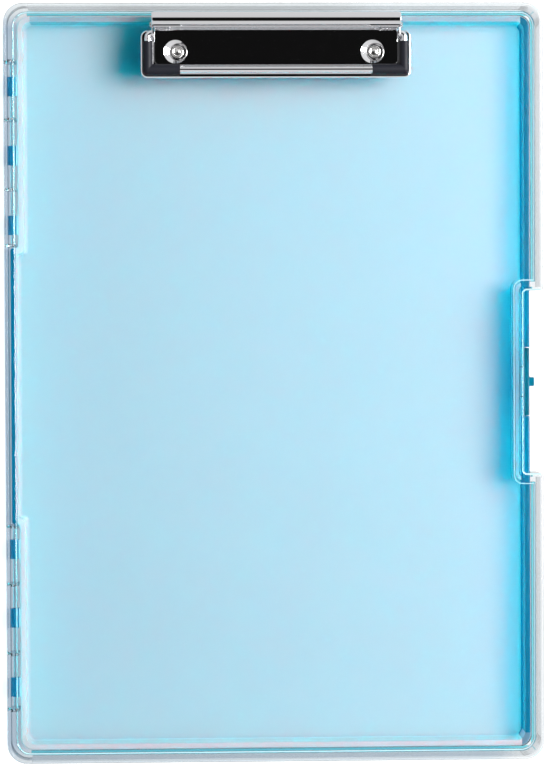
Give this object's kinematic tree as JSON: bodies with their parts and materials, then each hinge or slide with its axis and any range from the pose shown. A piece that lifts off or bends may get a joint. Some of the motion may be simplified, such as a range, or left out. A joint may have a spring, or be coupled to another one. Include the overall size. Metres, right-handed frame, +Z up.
{
  "type": "storage clipboard box",
  "caption": "Slim storage clipboard: a clear hinged lid with a raised rim, thumb notch and chrome paper clip over a translucent blue tray.",
  "frame": {"origin": "middle of the closed box's footprint, on the table it lies on", "axes": "+X across the box to the latch side, +Y along it to the clip, +Z up through the lid"},
  "size_m": [0.2392, 0.337, 0.0275],
  "materials": {
    "tray_plastic": "translucent blue, polished inside and out",
    "lid_plastic": "clear, polished",
    "rod_plastic": "clear, polished",
    "plate_chrome": "mirror bright",
    "lever_chrome": "mirror bright",
    "wire_chrome": "mirror bright",
    "pin_steel": "satin",
    "rivet_nickel": "bright nickel plate",
    "spring_steel": "drawn wire",
    "sleeve_vinyl": "smooth black vinyl, semi-gloss"
  },
  "bodies": {
    "tray": {"base_tray": "tray_plastic"},
    "latch": {"latch_tongue": "tray_plastic"},
    "lid": {"lid_shell": "lid_plastic", "hinge_rod_upper": "rod_plastic", "hinge_rod_lower": "rod_plastic", "clip_base_plate": "plate_chrome", "clip_pivot_pin": "pin_steel", "clip_rivet_left": "rivet_nickel", "clip_rivet_right": "rivet_nickel", "rivet_washer_left": "rivet_nickel", "rivet_washer_right": "rivet_nickel"},
    "clip_jaw": {"clip_lever": "lever_chrome", "bail_wire": "wire_chrome", "corner_sleeve_left": "sleeve_vinyl", "corner_sleeve_right": "sleeve_vinyl", "clip_spring_left": "spring_steel", "clip_spring_right": "spring_steel"}
  },
  "joints": [
    {"name": "lid_hinge", "type": "hinge", "parent": "tray", "child": "lid", "pos_m": [-0.1163, 0, 0.0075], "axis": [0, -1, 0], "range_deg": [0, 110]},
    {"name": "clip_press", "type": "hinge", "parent": "lid", "child": "clip_jaw", "pos_m": [0.001, 0.1584, 0.0219], "axis": [-1, 0, 0], "range_deg": [0, 40], "stiffness_Nm_per_rad": 0.4, "springref_deg": -40.11},
    {"name": "latch_flex", "type": "hinge", "parent": "tray", "child": "latch", "pos_m": [0.1126, 0, 0.0033], "axis": [0, 1, 0], "range_deg": [0, 6], "stiffness_Nm_per_rad": 0.3}
  ]
}
